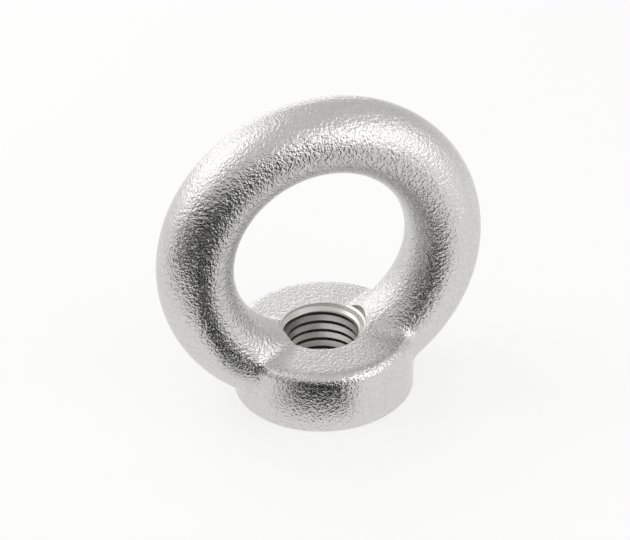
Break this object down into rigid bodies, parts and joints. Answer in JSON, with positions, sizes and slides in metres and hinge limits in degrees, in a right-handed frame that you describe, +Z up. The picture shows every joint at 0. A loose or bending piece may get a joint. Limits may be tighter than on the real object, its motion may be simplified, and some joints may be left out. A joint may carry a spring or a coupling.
{
  "type": "lifting eye nut",
  "caption": "Stainless steel lifting eye nut: a ring of near-round section on a short round collar with a threaded through hole.",
  "frame": {"origin": "centre of the foot face, on the thread's axis", "axes": "+Z up along the thread's axis from the foot face to the top of the ring; +X across the ring, so the ring lies in the XZ plane; +Y through the eye"},
  "size_m": [0.064, 0.035, 0.062],
  "materials": {
    "stainless": "fine blasted forging, turned and threaded hole"
  },
  "bodies": {
    "root": {"eye_nut": "stainless"}
  },
  "joints": []
}
